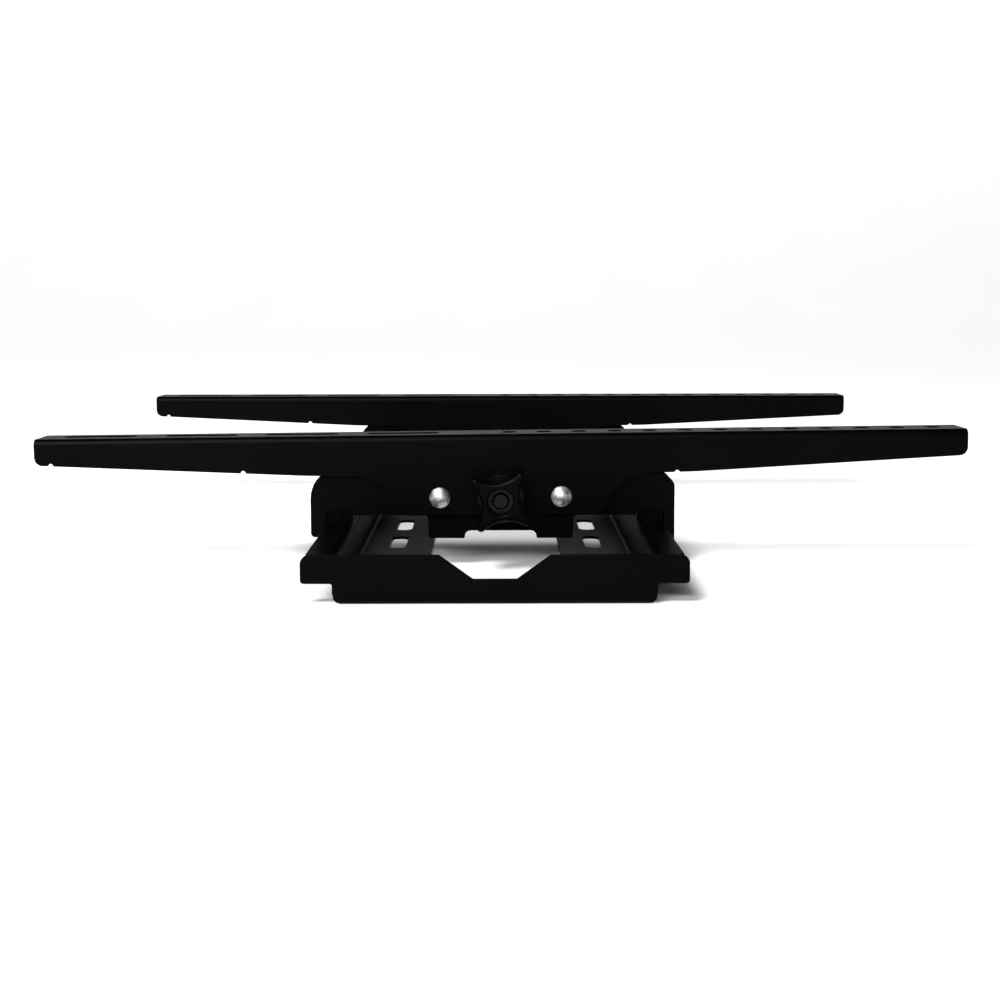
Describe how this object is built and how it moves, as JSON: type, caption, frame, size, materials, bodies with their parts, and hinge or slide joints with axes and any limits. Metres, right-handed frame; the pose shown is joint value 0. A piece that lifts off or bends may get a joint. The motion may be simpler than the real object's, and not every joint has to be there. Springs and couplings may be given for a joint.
{
  "type": "tilting tv wall mount",
  "caption": "Tilting wall mount for a flat screen: slotted wall plate with rails, sliding hook brackets, and long drilled arms that tilt on pivots and clamp with lobed knobs.",
  "frame": {"origin": "middle of the face that goes against the wall", "axes": "+X down the wall along the arms, +Y to the right along the rails, +Z away from the wall"},
  "size_m": [0.4503, 0.465, 0.0673],
  "materials": {
    "coat": "black powder coat, satin with a fine grain",
    "zinc": "bright zinc plate",
    "knob": "black moulded plastic, satin",
    "nylon": "black nylon, a little waxy",
    "fibre": "dull black fibre"
  },
  "bodies": {
    "plate": {"wall_plate": "coat"},
    "left_bracket": {"left_hook_bracket": "coat", "left_glide_shoes": "nylon", "left_pivot_spacer": "zinc", "left_lock_screw": "zinc"},
    "left_arm": {"left_tv_arm": "coat", "left_pivot_bolt": "zinc", "left_outer_friction_washer": "fibre", "left_inner_friction_washer": "fibre", "left_upper_guide_bolt": "zinc", "left_lower_guide_bolt": "zinc", "left_upper_guide_nut": "zinc", "left_lower_guide_nut": "zinc", "left_guide_washers": "fibre", "left_knob_washer": "zinc"},
    "left_knob": {"left_tilt_knob": "knob", "left_knob_insert": "zinc"},
    "right_bracket": {"right_hook_bracket": "coat", "right_glide_shoes": "nylon", "right_pivot_spacer": "zinc", "right_lock_screw": "zinc"},
    "right_arm": {"right_tv_arm": "coat", "right_pivot_bolt": "zinc", "right_outer_friction_washer": "fibre", "right_inner_friction_washer": "fibre", "right_upper_guide_bolt": "zinc", "right_lower_guide_bolt": "zinc", "right_upper_guide_nut": "zinc", "right_lower_guide_nut": "zinc", "right_guide_washers": "fibre", "right_knob_washer": "zinc"},
    "right_knob": {"right_tilt_knob": "knob", "right_knob_insert": "zinc"}
  },
  "joints": [
    {"name": "left_bracket_slide", "type": "slide", "parent": "plate", "child": "left_bracket", "axis": [0, 1, 0], "range_m": [-0.08, 0.1]},
    {"name": "left_arm_tilt", "type": "hinge", "parent": "left_bracket", "child": "left_arm", "pos_m": [0.0027, -0.1369, 0.0347], "axis": [0, 1, 0], "range_deg": [-4.45, 12.55]},
    {"name": "left_knob_turn", "type": "hinge", "parent": "left_arm", "child": "left_knob", "pos_m": [0.0027, -0.1369, 0.0347], "axis": [0, 1, 0], "continuous": true},
    {"name": "right_bracket_slide", "type": "slide", "parent": "plate", "child": "right_bracket", "axis": [0, 1, 0], "range_m": [-0.1, 0.1]},
    {"name": "right_arm_tilt", "type": "hinge", "parent": "right_bracket", "child": "right_arm", "pos_m": [0.0027, 0.116, 0.0347], "axis": [0, 1, 0], "range_deg": [-5, 12]},
    {"name": "right_knob_turn", "type": "hinge", "parent": "right_arm", "child": "right_knob", "pos_m": [0.0027, 0.116, 0.0347], "axis": [0, 1, 0], "continuous": true}
  ]
}
